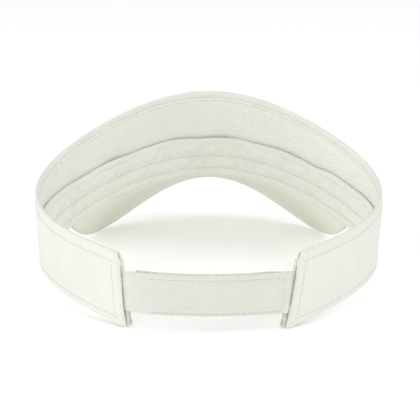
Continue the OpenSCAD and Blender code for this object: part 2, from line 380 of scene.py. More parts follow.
def join(name, parts):
    """Joins several meshes into one named object."""
    bpy.ops.object.select_all(action="DESELECT")
    for part in parts:
        part.select_set(True)
    bpy.context.view_layer.objects.active = parts[0]
    bpy.ops.object.join()
    parts[0].name = name
    return parts[0]


# ---------------------------------------------------------------- finishes


def new_material(name):
    made = bpy.data.materials.new(name)
    made.use_nodes = True
    tree = made.node_tree
    surface = tree.nodes["Principled BSDF"]
    return made, tree, surface


def cloth_place(tree):
    """Place in the weave, or along and around a thread, as make_mesh stores it."""
    node = tree.nodes.new("ShaderNodeAttribute")
    node.attribute_name = "cloth"
    return node.outputs["Vector"]


def space_place(tree):
    """Place in space, in metres."""
    return tree.nodes.new("ShaderNodeTexCoord").outputs["Object"]


def split_vector(tree, vector):
    node = tree.nodes.new("ShaderNodeSeparateXYZ")
    tree.links.new(vector, node.inputs["Vector"])
    return [node.outputs[axis] for axis in "XYZ"]


def math_node(tree, operation, *values):
    """One operation on numbers or on other nodes' outputs."""
    node = tree.nodes.new("ShaderNodeMath")
    node.operation = operation
    for slot, value in zip(node.inputs, values):
        if isinstance(value, (int, float)):
            slot.default_value = value
        else:
            tree.links.new(value, slot)
    return node.outputs[0]


def mixed(tree, *parts):
    """Sum of values, each one times its share."""
    total = 0.0
    for value, share in parts:
        total = math_node(tree, "ADD", total, math_node(tree, "MULTIPLY", value, share))
    return total


def wave(tree, value):
    return math_node(tree, "SINE", value)


def noise_node(tree, vector, scale, detail=2.0):
    node = tree.nodes.new("ShaderNodeTexNoise")
    node.inputs["Scale"].default_value = scale
    node.inputs["Detail"].default_value = detail
    tree.links.new(vector, node.inputs["Vector"])
    return node.outputs["Fac"]


def scaled(tree, value, low, high):
    """Maps 0..1 onto low..high."""
    node = tree.nodes.new("ShaderNodeMapRange")
    node.inputs["To Min"].default_value = low
    node.inputs["To Max"].default_value = high
    tree.links.new(value, node.inputs["Value"])
    return node.outputs["Result"]


def finish_cloth(
    tree, surface, height, shade, color, relief, rough=(0.82, 0.96), sheen=0.2, dark=0.86
):
    """Joins a height and a shade (both 0..1) to the surface: colour, bump, roughness and fuzz."""
    # Sockets 6, 7 and 2 carry the mix node's colours. The painted shade is a little yellower, as
    # shaded cloth is.
    # The shade carries painted shade in hollows and the cloth's own uneven tone, in shares each
    # finish sets.
    tint = tree.nodes.new("ShaderNodeMix")
    tint.data_type = "RGBA"
    tint.inputs[6].default_value = (color[0] * dark, color[1] * dark, color[2] * dark * 0.95, 1)
    tint.inputs[7].default_value = (*color, 1)
    tree.links.new(shade, tint.inputs[0])
    tree.links.new(tint.outputs[2], surface.inputs["Base Color"])
    bump = tree.nodes.new("ShaderNodeBump")
    bump.inputs["Strength"].default_value = 1.0
    bump.inputs["Distance"].default_value = relief * MM
    tree.links.new(height, bump.inputs["Height"])
    tree.links.new(bump.outputs["Normal"], surface.inputs["Normal"])
    tree.links.new(scaled(tree, height, rough[1], rough[0]), surface.inputs["Roughness"])
    surface.inputs["Specular IOR Level"].default_value = 0.2
    surface.inputs["Sheen Weight"].default_value = sheen
    surface.inputs["Sheen Roughness"].default_value = 0.6


def twill(name, color, turn, pitch=1.0, relief=0.12):
    """Cotton twill: slanted ribs of short floats with loose fibres, slubs and a faint mottle."""
    made, tree, surface = new_material(name)
    place = cloth_place(tree)
    rotate = tree.nodes.new("ShaderNodeVectorRotate")
    rotate.rotation_type = "Z_AXIS"
    rotate.inputs["Angle"].default_value = math.radians(-turn)
    tree.links.new(place, rotate.inputs["Vector"])
    turned = rotate.outputs["Vector"]
    along, across, _ = split_vector(tree, turned)
    waver = noise_node(tree, place, 0.07)
    phase = mixed(tree, (across, 2 * math.pi / pitch), (waver, 4.0))
    rib = scaled(tree, wave(tree, phase), -0.5, 1.5)
    floats = wave(tree, mixed(tree, (along, 2 * math.pi / (1.3 * pitch)), (phase, 0.5)))
    fibre = noise_node(tree, place, 2.6, 4.0)
    slub = noise_node(tree, turned, 0.8, 3.0)
    mottle = noise_node(tree, place, 0.06, 3.0)
    height = mixed(tree, (rib, 0.55), (floats, 0.05), (fibre, 0.15))
    # Painted shade darkens the grooves between the ribs; fibres, slubs and mottle add the cloth's own
    # uneven tone.
    shade = mixed(tree, (rib, 0.45), (fibre, 0.1), (slub, 0.2), (mottle, 0.7))
    finish_cloth(tree, surface, height, shade, color, relief)
    return made


def yarn(name, color):
    """Sewing thread: two plies twisted together, with painted shade between the plies and at the
    needle holes.
    """
    made, tree, surface = new_material(name)
    along, around, to_needle = split_vector(tree, cloth_place(tree))
    twist = mixed(tree, (along, 2 * math.pi / 0.7), (around, 4 * math.pi))
    height = scaled(tree, wave(tree, twist), -0.5, 1.5)
    # Painted shade where the thread dips into its needle holes.
    needle_shade = math_node(tree, "POWER", to_needle, 3.0)
    shade = math_node(tree, "SUBTRACT", scaled(tree, height, 0.8, 1.0), needle_shade)
    finish_cloth(tree, surface, height, shade, color, 0.03, rough=(0.5, 0.7), sheen=0.1, dark=0.45)
    return made


def felted(name, color, scale, relief):
    """Loose non-woven or looped surface, from noise in space."""
    made, tree, surface = new_material(name)
    place = space_place(tree)
    fibres = noise_node(tree, place, scale, 6.0)
    clumps = noise_node(tree, place, scale / 9, 3.0)
    height = mixed(tree, (fibres, 0.6), (clumps, 1.0))
    # Lower places are painted darker: painted shade in the hollows between fibres and clumps.
    finish_cloth(tree, surface, height, height, color, relief)
    return made


def buckram(name, color):
    """Open stiff weave: two crossing sets of threads."""
    made, tree, surface = new_material(name)
    along, up, _ = split_vector(tree, cloth_place(tree))
    pitch = 0.9
    warp = wave(tree, math_node(tree, "MULTIPLY", along, 2 * math.pi / pitch))
    weft = wave(tree, math_node(tree, "MULTIPLY", up, 2 * math.pi / pitch))
    height = scaled(tree, math_node(tree, "MAXIMUM", warp, weft), 0, 1)
    # Lower places are painted darker: painted shade in the gaps between the threads.
    finish_cloth(tree, surface, height, height, color, 0.2)
    return made


def sheet_plastic(name, color):
    """Satin polyethylene with a faint extruded grain and small scuffs."""
    made, tree, surface = new_material(name)
    place = space_place(tree)
    stretch = tree.nodes.new("ShaderNodeMapping")
    stretch.inputs["Scale"].default_value = (1, 0.05, 1)
    tree.links.new(place, stretch.inputs["Vector"])
    grain = noise_node(tree, stretch.outputs["Vector"], 900.0, 4.0)
    scuffs = noise_node(tree, place, 120.0, 5.0)
    height = mixed(tree, (grain, 0.7), (scuffs, 1.0))
    finish_cloth(tree, surface, height, scuffs, color, 0.02, rough=(0.35, 0.6), sheen=0.0)
    surface.inputs["Specular IOR Level"].default_value = 0.5
    return made


IVORY = (0.83, 0.835, 0.785)
TWILL_OUT = twill("outer_twill", IVORY, -66, pitch=1.3)
# The lining is the same ivory cloth, painted a little lighter: painted light inside the band.
TWILL_LINING = twill("lining_twill", (0.85, 0.852, 0.80), 27, pitch=1.3)
TWILL_SWEATBAND = twill("sweatband_twill", (0.84, 0.842, 0.785), 75, relief=0.08)
# The under cover is the same ivory cloth, painted yellower: painted shade under the bill.
TWILL_UNDER = twill("under_cover_twill", (0.84, 0.85, 0.75), 60, relief=0.06)
TWILL_STRAP = twill("strap_twill", (0.78, 0.785, 0.73), 25, pitch=1.35, relief=0.2)
THREAD = yarn("sewing_thread", (0.86, 0.865, 0.815))
PADDING_FELT = felted("padding_felt", (0.9, 0.9, 0.88), 1500.0, 0.3)
BUCKRAM = buckram("stiffener_buckram", (0.88, 0.88, 0.85))
BOARD_SHEET = sheet_plastic("board_sheet", (0.8, 0.82, 0.84))
HOOK_NYLON = felted("hook_nylon", (0.88, 0.88, 0.86), 2500.0, 0.1)
LOOP_NYLON = felted("loop_nylon", (0.88, 0.88, 0.86), 1200.0, 0.4)


# ---------------------------------------------------------------- layers of the band


def band_lengths():
    """Stations along half the band, closer together at the rear end."""
    share = np.linspace(0, 1, BAND_STATIONS)
    return HALF_LENGTH * (1 - (1 - share) ** 1.15)


def panel_bulge(lengths, height, top):
    """How far the outside cloth stands proud between its seams, with soft dents on the arms.

    Lengths along the band are negative on its left half, so that the halves wrinkle differently.
    """
    share = np.clip(height / top, 0, 1)
    belly = 4 * share * (1 - share)
    dents = unevenness(lengths, height, 30, 5) * smooth(np.abs(lengths), 90, 150)
    to_end = HALF_LENGTH - np.abs(lengths)
    # The turned-in end makes a ridge and then rounds off.
    ridge = 0.45 * hump(to_end, 3.2, 3.0) - 0.35 * (1 - smooth(to_end, 0, 1.6))
    puckers = unevenness(lengths + 0.8 * height, height * 0.3, 5, 6) * (1 - smooth(to_end, 6, 16))
    # Both rows of stitches pull the cloth in.
    edge = hump(height, top - EDGE_ROW_DROP, 2.6)
    lower = hump(height, HEM_ROW, 2.0) * smooth(np.abs(lengths), 100, 120)
    return belly * (0.6 + 0.45 * dents + 0.2 * puckers) + ridge - 0.12 * edge - 0.1 * lower


def make_panel(name, side):
    """Outside panel: up the outside, over the top edge and down inside as a hem."""
    lengths = band_lengths()
    station = side * lengths[:, None]
    top = wall_height(angle_at(lengths))[:, None]
    low = panel_low(angle_at(lengths))[:, None]
    outer = PLY / 2
    inner = HEM_DEPTH + PLY / 2
    radius = (inner - outer) / 2
    rise = np.linspace(0, 1, 34)[None, :]
    out_height = low + (top - radius - low) * rise
    out_depth = outer - panel_bulge(station, out_height, top)
    roll_depth, roll_height = fold(outer, inner, top)
    drop = np.linspace(0, 1, 12)[None, 1:]
    in_height = top - radius - (HEM - radius) * drop
    in_depth = inner + 0.45 * hump(top - in_height, 2.2, 2.2)
    depth = np.concatenate([out_depth, np.repeat(roll_depth, len(top), 0)[:, 1:], in_depth], axis=1)
    height = np.concatenate([out_height, roll_height[:, 1:], in_height], axis=1)
    made = band_piece(name, side, lengths, stack_line(depth, height), folded_end(lengths), TWILL_OUT)
    over_temple(made, side, "panel")


def folded_end(lengths):
    """Thickness of a ply whose end is turned in: double and rounded at the rear end."""
    to_end = HALF_LENGTH - lengths
    double = PLY * (1.9 - 0.9 * smooth(to_end, 2.0, 4.5))
    return double * (0.45 + 0.55 * np.sqrt(np.clip(to_end / 0.8, 0, 1)))


def lining_depth(lengths, height, top):
    """Middle of the lining: pressed at its stitching, puckered below and slack in between."""
    below = top - LINING_DROP - height
    puckers = unevenness(lengths, height * 0.25, 5.5, 21) * np.exp(-np.maximum(below - 1.2, 0) / 7)
    slack = unevenness(lengths, height, 26, 22)
    free = smooth(height, SWEATBAND_HEIGHT - 1, SWEATBAND_HEIGHT + 7) * smooth(below, 1.5, 6)
    pressed = hump(below, EDGE_ROW_DROP - LINING_DROP, 1.1)
    ridge = hump(below, 0, 1.1)
    proud = free * (0.35 * puckers + 0.5 * slack + 0.3) + 0.5 * ridge - 0.15 * pressed
    return LINING_DEPTH + PLY / 2 + proud


def make_lining(name, side):
    """Lining: a single ply whose top edge is folded under, so that it ends in a thick ridge."""
    lengths = band_lengths()
    station = side * lengths[:, None]
    top = wall_height(angle_at(lengths))[:, None]
    low = panel_low(angle_at(lengths))[:, None]
    share = np.linspace(0, 1, 46)[None, :] ** 0.8
    height = low + (top - LINING_DROP - low) * share
    depth = lining_depth(station, height, top)
    ridge = fold(LINING_DEPTH - 0.1, LINING_DEPTH + PLY / 2 + 0.35, top - LINING_DROP + 0.3)
    back_depth, back_height = [rows[:, ::-1] for rows in ridge]
    depth = np.concatenate([depth, np.repeat(back_depth, len(top), 0)[:, 1:]], axis=1)
    height = np.concatenate([height, back_height[:, 1:]], axis=1)
    made = band_piece(name, side, lengths, stack_line(depth, height), PLY, TWILL_LINING)
    over_temple(made, side, "lining")


# The sweatband's face is worked out on a flat strip, in cells of this size.
QUILT_CELL = 1.35
QUILT_COLUMNS = 2 * int(HALF_LENGTH / QUILT_CELL)
QUILT_ROWS = int(SWEATBAND_HEIGHT / QUILT_CELL)
# The simulation works in metres at this many times the real size.
QUILT_SCALE = 20.0
QUILT_FRAMES = 20
# Farthest the cloth may puff out between its seams, and how far its seams are pulled in.
QUILT_LIMIT = 1.7
QUILT_SUNK = 0.5


def quilt_grid():
    """Lengths along the band and heights of the strip's points."""
    along = np.linspace(-HALF_LENGTH, HALF_LENGTH, QUILT_COLUMNS + 1)
    up = np.linspace(0, SWEATBAND_HEIGHT, QUILT_ROWS + 1)
    return np.meshgrid(along, up, indexing="ij")


def simulate_quilting():
    """Puff of the face from a cloth simulation: a strip held at its stitches and blown up."""
    along, up = quilt_grid()
    rise = 0.1 * unevenness(along, up, 7, 31)
    points = np.stack([along, up, rise], axis=-1).reshape(-1, 3) * MM * QUILT_SCALE
    size = QUILT_ROWS + 1
    faces = [
        (i * size + j, (i + 1) * size + j, (i + 1) * size + j + 1, i * size + j + 1)
        for i in range(QUILT_COLUMNS) for j in range(QUILT_ROWS)
    ]
    mesh = bpy.data.meshes.new("quilting")
    mesh.from_pydata(points.tolist(), [], faces)
    strip = bpy.data.objects.new("quilting", mesh)
    bpy.context.scene.collection.objects.link(strip)
    on_row = np.min([np.abs(up - row) for row in SWEATBAND_ROWS], axis=0) < 0.5 * QUILT_CELL
    at_needle = np.arange(QUILT_COLUMNS + 1)[:, None] % 2 == 0
    held = (on_row & at_needle) | (up == 0) | (up == SWEATBAND_HEIGHT)
    sewn = strip.vertex_groups.new(name="sewn")
    sewn.add(np.flatnonzero(held).tolist(), 1.0, "REPLACE")
    cloth = strip.modifiers.new("cloth", "CLOTH")
    cloth.settings.quality = 6
    cloth.settings.vertex_group_mass = "sewn"
    cloth.settings.use_pressure = True
    cloth.settings.uniform_pressure_force = 4
    cloth.settings.shrink_min = -0.1
    cloth.settings.effector_weights.gravity = 0
    for step in range(QUILT_FRAMES):
        bpy.context.scene.frame_set(step + 1)
    blown = strip.evaluated_get(bpy.context.evaluated_depsgraph_get()).to_mesh()
    place = np.empty(len(blown.vertices) * 3)
    blown.vertices.foreach_get("co", place)
    proud = place[2::3].reshape(along.shape) / MM / QUILT_SCALE
    bpy.data.objects.remove(strip)
    bpy.context.scene.frame_set(1)
    return np.clip(proud, 0, QUILT_LIMIT)


QUILTING = simulate_quilting()


def quilt_puff(lengths, height):
    """Fullness of the sweatband's face, read from the strip between its points."""
    i = np.clip((lengths + HALF_LENGTH) / (2 * HALF_LENGTH) * QUILT_COLUMNS, 0, QUILT_COLUMNS - 0.001)
    j = np.clip(height / SWEATBAND_HEIGHT * QUILT_ROWS, 0, QUILT_ROWS - 0.001)
    column, row = i.astype(int), j.astype(int)
    u, v = i - column, j - row
    low = QUILTING[column, row] * (1 - u) + QUILTING[column + 1, row] * u
    high = QUILTING[column, row + 1] * (1 - u) + QUILTING[column + 1, row + 1] * u
    return low * (1 - v) + high * v - QUILT_SUNK


def at_front(lengths, near, far):
    """1 at the front of the band, 0 farther than far from its middle."""
    return 1 - smooth(np.abs(lengths), near, far)


def stand_off(lengths, height):
    """How far the sweatband's free top edge stands off the lining."""
    gape = 0.45 + 0.6 * unevenness(lengths, 0 * lengths, 16, 33)
    return gape * smooth(height, SWEATBAND_ROWS[1], SWEATBAND_HEIGHT) * at_front(lengths, 60, 120)


def make_sweatband(name, side):
    """Sweatband: a folded strip with padding inside, quilted by three rows of stitches."""
    lengths = band_lengths()
    station = side * lengths[:, None]
    back = SWEATBAND_DEPTH + PLY / 2
    face = BAND_DEPTH - PLY / 2
    radius = (face - back) / 2
    waves = unevenness(station, 0 * station, 15, 34) + 0.5 * unevenness(station, 0 * station, 6, 35)
    waves = 0.45 * waves * at_front(station, 80, 140)
    crest = SWEATBAND_HEIGHT - PLY / 2 - 0.2 + waves
    bottom = 0.2
    rise = np.linspace(0, 1, 20)[None, :]
    back_height = bottom + (crest - radius - bottom) * rise
    back_depth = back + stand_off(station, back_height)
    roll_depth, roll_height = fold(back, face, crest)
    roll_depth = roll_depth + stand_off(station, crest)
    drop = np.linspace(0, 1, 60)[None, 1:]
    face_height = bottom + (crest - radius - bottom) * (1 - drop)
    puff = (quilt_puff(station, face_height) + QUILT_SUNK) * smooth(drop, 0, 0.06)
    puff = puff - QUILT_SUNK * smooth(drop, 0, 0.12)
    face_depth = face + stand_off(station, face_height) + puff
    depth = np.concatenate([back_depth, roll_depth[:, 1:], face_depth], axis=1)
    height = np.concatenate([back_height, roll_height[:, 1:], face_height], axis=1)
    made = band_piece(name, side, lengths, stack_line(depth, height), PLY, TWILL_SWEATBAND)
    over_temple(made, side, "sweatband")


def make_padding(name, side):
    """Felt padding inside the sweatband."""
    lengths = band_lengths()[:-2]
    height = np.linspace(1.2, SWEATBAND_HEIGHT - 2.5, 24)[None, :]
    middle = PADDING_DEPTH + PADDING / 2 + stand_off(side * lengths[:, None], height)
    pressed = np.min([np.abs(height - row) for row in SWEATBAND_ROWS], axis=0)
    depth = middle - 0.2 * np.exp(-pressed / 1.5)
    made = band_piece(name, side, lengths, stack_line(depth, height), PADDING * 0.8, PADDING_FELT)
    over_temple(made, side, "padding")


def make_stiffener():
    """Buckram behind the front panel."""
    lengths = np.linspace(0, length_at(50), 60)
    top = wall_height(angle_at(lengths))[:, None]
    share = np.linspace(0, 1, 20)[None, :]
    height = PANEL_START + 1 + (top - HEM - 3 - PANEL_START) * share
    line = stack_line(CORE_DEPTH + PLY / 2 + 0 * height, height)
    halves = [
        band_piece(f"stiffener_{name}", side, lengths, line, PLY, BUCKRAM)
        for name, side in SIDES.items()
    ]
    stand_in(join("stiffener", halves), "stiffener", "crown", "front_stiffener")


# How far before the rear end the rows stop, in degrees.
OUTSIDE_ROW_STOP = 2.6
INSIDE_ROW_STOP = 0.6
# At the front the sweatband's top row sinks this far into the slack cloth.
TOP_ROW_SUNK = 0.6


def make_band_threads(side):
    """All rows of stitches on half of the band."""
    word = side_name(side)
    outside_end = END_ANGLE - OUTSIDE_ROW_STOP
    inside_end = END_ANGLE - INSIDE_ROW_STOP

    def top(lengths):
        return wall_height(angle_at(lengths))

    def edge(lengths):
        return top(lengths) - EDGE_ROW_DROP

    def level(height):
        return lambda lengths: 0 * lengths + height

    def outside(height):
        return lambda lengths: -panel_bulge(lengths, height(lengths), top(lengths))

    def on_lining(lengths):
        return lining_depth(lengths, edge(lengths), top(lengths)) + PLY / 2 - 0.08

    def on_sweatband(height):
        sunk = TOP_ROW_SUNK if height == SWEATBAND_ROWS[-1] else 0

        def depth(lengths):
            puff = quilt_puff(lengths, height + 0 * lengths) - sunk * at_front(lengths, 30, 60)
            return BAND_DEPTH + 0.08 + stand_off(lengths, height) + puff

        return depth

    edge_rows = join(f"edge_stitches_{word}", [
        band_row(f"outer_edge_row_{word}", side, 0.5, outside_end, outside(edge), edge, True),
        band_row(f"lining_edge_row_{word}", side, 0.5, inside_end, on_lining, edge),
        band_row(
            f"lower_row_{word}", side, FLEX_ANGLE, outside_end,
            outside(level(HEM_ROW)), level(HEM_ROW), True,
        ),
    ])
    over_temple(edge_rows, side, "edge_stitching")
    sweatband_rows = join(f"sweatband_stitches_{word}", [
        band_row(
            f"sweatband_row_{index}_{word}", side, 0.5, inside_end,
            on_sweatband(height), level(height),
        )
        for index, height in enumerate(SWEATBAND_ROWS)
    ])
    over_temple(sweatband_rows, side, "sweatband_stitching")


def make_end_row(name, side):
    """Upright row that closes the folded end of an arm."""
    length = HALF_LENGTH - END_ROW
    angle = angle_at(length)
    top = wall_height(angle)
    height = np.linspace(HEM_ROW + 1.5, top - EDGE_ROW_DROP - 1.5, 100)
    depth = -panel_bulge(side * length, height, top)
    path = side_wall(angle, depth, height, side)
    normal = wall(angle, depth, height) - wall(angle, depth + 1, height)
    made = stitch_row(name, path * [side, 1, 1], normal * [side, 1, 1])
    word = side_name(side)
    stand_in(made, "thread", f"{word}_arm", f"{word}_end_stitching")


# ---------------------------------------------------------------- bill


def bill_length(u):
    return BILL_REACH * (1 - u**4) ** 0.27


def bill_surface(t, v):
    """Points of the bill's underside: t across it, v from its root to its free edge."""
    u = sin(90 * t)
    root = wall(u * BILL_CORNER, SWEATBAND_DEPTH - SLACK, 0)
    slope = BILL_SLOPE + BILL_SIDE_SLOPE * (1 - (1 - u * u) ** 4)
    turn = -BILL_TOE_IN * u
    reach = v * bill_length(u)
    way = np.stack([cos(slope) * sin(turn), cos(slope) * cos(turn), -sin(slope)], axis=-1)
    return root + reach[..., None] * way


def bill_point(t, v, lift_off):
    """Points at a distance above the underside, square to it."""
    step = 0.01
    along = bill_surface(t + step, v) - bill_surface(t - step, v)
    across = bill_surface(t, v + step) - bill_surface(t, v - step)
    normal = np.cross(along, across)
    normal = normal / np.linalg.norm(normal, axis=-1, keepdims=True)
    return bill_surface(t, v) + lift_off[..., None] * normal


def bill_body(t, v):
    """Share of the bill's full thickness: the covers close up around its free edge."""
    to_rim = (1 - v) * bill_length(sin(90 * t)) / 3.5
    to_side = (BILL_END - np.abs(t)) * 40
    share = np.clip(np.minimum(to_rim, to_side), 0, 1)
    return np.sqrt(1 - (1 - share) ** 2)


def bill_cover(name, low, material):
    """Cover of the bill: one ply at a distance above the underside, rounded along its rim."""
    t = np.linspace(-BILL_END, BILL_END, 161)[:, None]
    v = 1 - (1 - np.linspace(0, 1, 56)) ** 1.4
    out = np.repeat(v[None, :], len(t), 0)
    across = np.repeat(t, len(v), 1)
    base = low(across, out)
    edge = np.minimum(1, (1 - out) * 120) ** 0.5
    half = PLY / 2 * (0.35 + 0.65 * edge)
    lower = bill_point(across, out, base + PLY / 2 - half)
    upper = bill_point(across, out, base + PLY / 2 + half)
    points = np.concatenate([lower, upper[:, ::-1]], axis=1)
    run = out * bill_length(sin(90 * across))
    cloth = np.stack([across * BILL_HALF_WIDTH, run, 0 * run], axis=-1)
    cloth = np.concatenate([cloth, cloth[:, ::-1]], axis=1)
    faces = tube_faces(len(t), points.shape[1])
    return make_mesh(name, points.reshape(-1, 3), faces, cloth.reshape(-1, 3), material)


def under_cover_base(t, v):
    """The under cover rolls off the band in a soft bend before it lies flat on the board."""
    run = v * bill_length(sin(90 * t)) / 5
    bend = run * np.exp(1 - run)
    return 0.12 * unevenness(t * 60, v * 60, 30, 41) - 1.9 * bend


def top_cover_base(t, v):
    return PLY + SLACK + (COVER_LIFT - PLY - SLACK) * bill_body(t, v)


# The bill's seam is pulled into the cloth, which closes over most of it.
SEAM_SUNK = 0.3


def make_bill():
    under = bill_cover("bill_under_cover_cloth", under_cover_base, TWILL_UNDER)
    stand_in(under, "under_cover", "crown", "bill_under_cover")
    over = bill_cover("bill_top_cover_cloth", top_cover_base, TWILL_OUT)
    stand_in(over, "twill", "crown", "bill_top_cover")
    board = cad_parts["bill_board"]
    board.data.materials.clear()
    board.data.materials.append(BOARD_SHEET)
    lengths = np.linspace(0, length_at(BILL_CORNER), 300)
    angles = angle_at(lengths)
    normal = wall(angles, BAND_DEPTH + 1, 1) - wall(angles, BAND_DEPTH, 1)
    halves = []
    for word, side in SIDES.items():
        depth = BAND_DEPTH - SEAM_SUNK + quilt_puff(side * lengths, 1 + 0 * lengths)
        path = wall(angles, depth, 1) * [side, 1, 1]
        halves.append(stitch_row(f"bill_seam_{word}", path, normal * [side, 1, 1]))
    stand_in(join("bill_seam_stitches", halves), "thread", "crown", "bill_seam_stitching")


# ---------------------------------------------------------------- back strap

SEAM = wall(np.array(STRAP_ANGLE), CORE_DEPTH + PLY / 2, 0)
ROOT_RADIUS = float(np.hypot(SEAM[0], SEAM[1] - FLEX_Y))
ROOT_TURN = math.degrees(math.atan2(SEAM[0], FLEX_Y - SEAM[1]))
OUTER_RADIUS = ROOT_RADIUS + 0.6
HOOK_RADIUS = OUTER_RADIUS - STRAP_PLY / 2 - SLACK / 2 - TAPE
LOOP_RADIUS = HOOK_RADIUS - TAPE_GAP - TAPE
INNER_RADIUS = LOOP_RADIUS - SLACK / 2 - STRAP_PLY / 2
# Degrees of the band along which a strap's root lies inside the arm.
ROOT_SPAN = 12.0
# Where a strap leaves its root, in degrees around its centre of curvature.
LEAVE_TURN = ROOT_TURN - 0.45
# How each strap runs: how many degrees it takes to settle on its own radius, the turn of its free
# end, and how many millimetres that end stands off.
OUTER_STRAP = {"side": -1, "radius": OUTER_RADIUS, "settle": 4, "free_turn": 22.6, "rise": 1.5}
INNER_STRAP = {"side": 1, "radius": INNER_RADIUS, "settle": 4.7, "free_turn": 21.0, "rise": 0}


def strap_middle(radius, settle, free_turn, rise, turns):
    """Radius of the strap's middle along its length, from its root to its free end."""
    leave = (ROOT_RADIUS - radius) * np.maximum(0, 1 - (LEAVE_TURN - turns) / settle) ** 2
    climb = rise * np.maximum(0, (-turns - HOLD_TURN) / (free_turn - HOLD_TURN)) ** 2
    return radius + leave + climb


def strap_station(radius, turns):
    """Centre points and outward normals of the strap at turns around its centre of curvature."""
    centre = np.stack([radius * sin(turns), FLEX_Y - radius * cos(turns), 0 * turns], axis=-1)
    normal = np.stack([sin(turns), -cos(turns), 0 * turns], axis=-1)
    return centre, normal


def strap_fullness(lengths, heights):
    """How far the strap's face swells between its seams, with a few soft waves."""
    share = (heights - STRAP_BASE) / STRAP_HEIGHT
    belly = np.clip(4 * share * (1 - share), 0, 1)
    return belly * (0.12 + 0.15 * unevenness(lengths, heights, 24, 51))


def strap_curl(turns, heights):
    """How far a strap's long edges curl towards the other strap where the two are held together."""
    to_edge = np.minimum(heights - STRAP_BASE, STRAP_TOP - heights)
    held = 1 - smooth(np.abs(turns), HOLD_TURN - 3, HOLD_TURN + 3)
    return 0.7 * held * (1 - smooth(to_edge, 0.2, 1.9))


def make_strap(name, side, radius, settle, free_turn, rise):
    """Strap of folded cloth, from its flat root inside the arm to its free end."""
    root_angles = np.linspace(STRAP_ANGLE - ROOT_SPAN, STRAP_ANGLE - 0.2, 14)
    root_centre = wall(root_angles, CORE_DEPTH + PLY / 2, 0) * [1, 1, 0]
    nx, ny = outward(root_angles)
    root_normal = np.stack([nx, ny, 0 * nx], axis=-1)
    turns = np.linspace(LEAVE_TURN, -free_turn, 90)
    # Points across the strap, closer together at its edges.
    share = np.linspace(0, 1, 30)
    share = share - 0.6 * np.sin(2 * np.pi * share) / (2 * np.pi)
    share = np.concatenate([share, share[::-1]])
    slant = END_LEAN * (1 - share)[None, :] * smooth(-turns, free_turn - 8, free_turn)[:, None]
    turns = turns[:, None] + slant
    centre, normal = strap_station(strap_middle(radius, settle, free_turn, rise, turns), turns)
    across = np.ones((1, len(share), 1))
    centre = np.concatenate([root_centre[:, None] * across, centre])
    normal = np.concatenate([root_normal[:, None] * across, normal])
    steps = np.linalg.norm(np.diff(centre[:, -1], axis=0), axis=1)
    run = np.concatenate([[0], np.cumsum(steps)])
    # The root is a single ply, a little narrower than the folded strap.
    leave = run[len(root_angles)]
    swell = smooth(run, leave - 5, leave - 1)
    end = np.clip((run[-1] - run) / 0.6, 0, 1)
    thickness = (PLY + (STRAP_PLY - PLY) * swell) * (0.4 + 0.6 * end**0.5)
    inset = 0.5 * (1 - swell)
    rise_share = share[None, : len(share) // 2]
    height = (STRAP_BASE + inset)[:, None] + (STRAP_HEIGHT - 2 * inset)[:, None] * rise_share
    station_turns = np.concatenate([np.full(len(root_angles), ROOT_TURN), turns[:, -1]])[:, None]
    waves = strap_fullness(run[:, None], height) * swell[:, None]
    waves = waves + side * strap_curl(station_turns, height)
    loops = thicken(stack_line(waves, height), thickness)
    points = centre + normal * loops[..., :1]
    points[..., 2] = loops[..., 1]
    width = line_lengths(stack_line(waves, height))
    cloth = np.stack([-side * np.broadcast_to(run[:, None], width.shape), width, 0 * width], axis=-1)
    # The turns run backwards, so the faces are turned round.
    faces = [face[::-1] for face in tube_faces(len(run), loops.shape[1])]
    points, faces = mirror(points.reshape(-1, 3), faces, side)
    return make_mesh(name, points, faces, cloth.reshape(-1, 3), TWILL_STRAP)


def strap_rows(name, face, side, radius, settle, free_turn, rise):
    """Stitches of a strap: one row that runs along one edge, around the free end and back.

    They lie on its outward face (1) or on its inward face (-1).
    """
    count = 100
    near = HOLD_TURN + 1
    margin = 1.6
    far = margin - free_turn
    low = STRAP_BASE + 1.3
    high = STRAP_TOP - 2.6
    corner = np.linspace(0, 90, 10)
    round_turn = 1.6
    round_height = round_turn * math.radians(radius)
    turns = np.concatenate([
        np.linspace(near, far + round_turn, count),
        far + round_turn - round_turn * sin(corner),
        far + round_turn - round_turn * cos(corner),
        np.linspace(far + round_turn, near, count),
    ])
    heights = np.concatenate([
        np.full(count, high),
        high - round_height + round_height * cos(corner),
        low + round_height - round_height * sin(corner),
        np.full(count, low),
    ])
    share = (heights - STRAP_BASE) / STRAP_HEIGHT
    turns = turns + END_LEAN * (1 - share) * smooth(-turns, free_turn - 8, free_turn)
    middle = strap_middle(radius, settle, free_turn, rise, turns)
    centre, normal = strap_station(middle + face * (STRAP_PLY / 2 + 0.05), turns)
    centre[:, 2] = heights
    normal = normal * face
    return stitch_row(name, centre * [side, 1, 1], normal * [side, 1, 1])


HOOK_THICKNESS = 0.26


def hook_posts(side):
    """Rows of small bent nylon hooks on the hook tape."""
    columns = np.arange(3 - HOLD_TURN, HOLD_TURN - 1, 0.9)
    rows = np.arange(STRAP_BASE + 3, STRAP_TOP - 2.5, 1.5)
    turn, height = [g.ravel() for g in np.meshgrid(columns, rows)]
    base, normal = strap_station(HOOK_RADIUS + 0 * turn, turn)
    base[:, 2] = height
    along = np.stack([cos(turn), sin(turn), 0 * turn], axis=-1)
    reach = np.array([-0.1, 0.3, 0.5, 0.45])
    bend = np.array([0.0, 0.02, 0.16, 0.34])
    spine = base[:, None] - normal[:, None] * reach[None, :, None]
    spine = spine + along[:, None] * bend[None, :, None]
    sides = 6
    angles = np.arange(sides) * 360 / sides
    ring = along[:, None, None] * cos(angles)[None, None, :, None]
    ring = ring + np.array([0, 0, 1]) * sin(angles)[None, None, :, None]
    points = spine[:, :, None] + HOOK_THICKNESS / 2 * ring
    one = tube_faces(len(reach), sides)
    step = len(reach) * sides
    faces = [tuple(v + i * step for v in face) for i in range(len(turn)) for face in one]
    points, faces = mirror(points.reshape(-1, 3), faces, side)
    return make_mesh("hooks", points, faces, 0 * points, HOOK_NYLON)


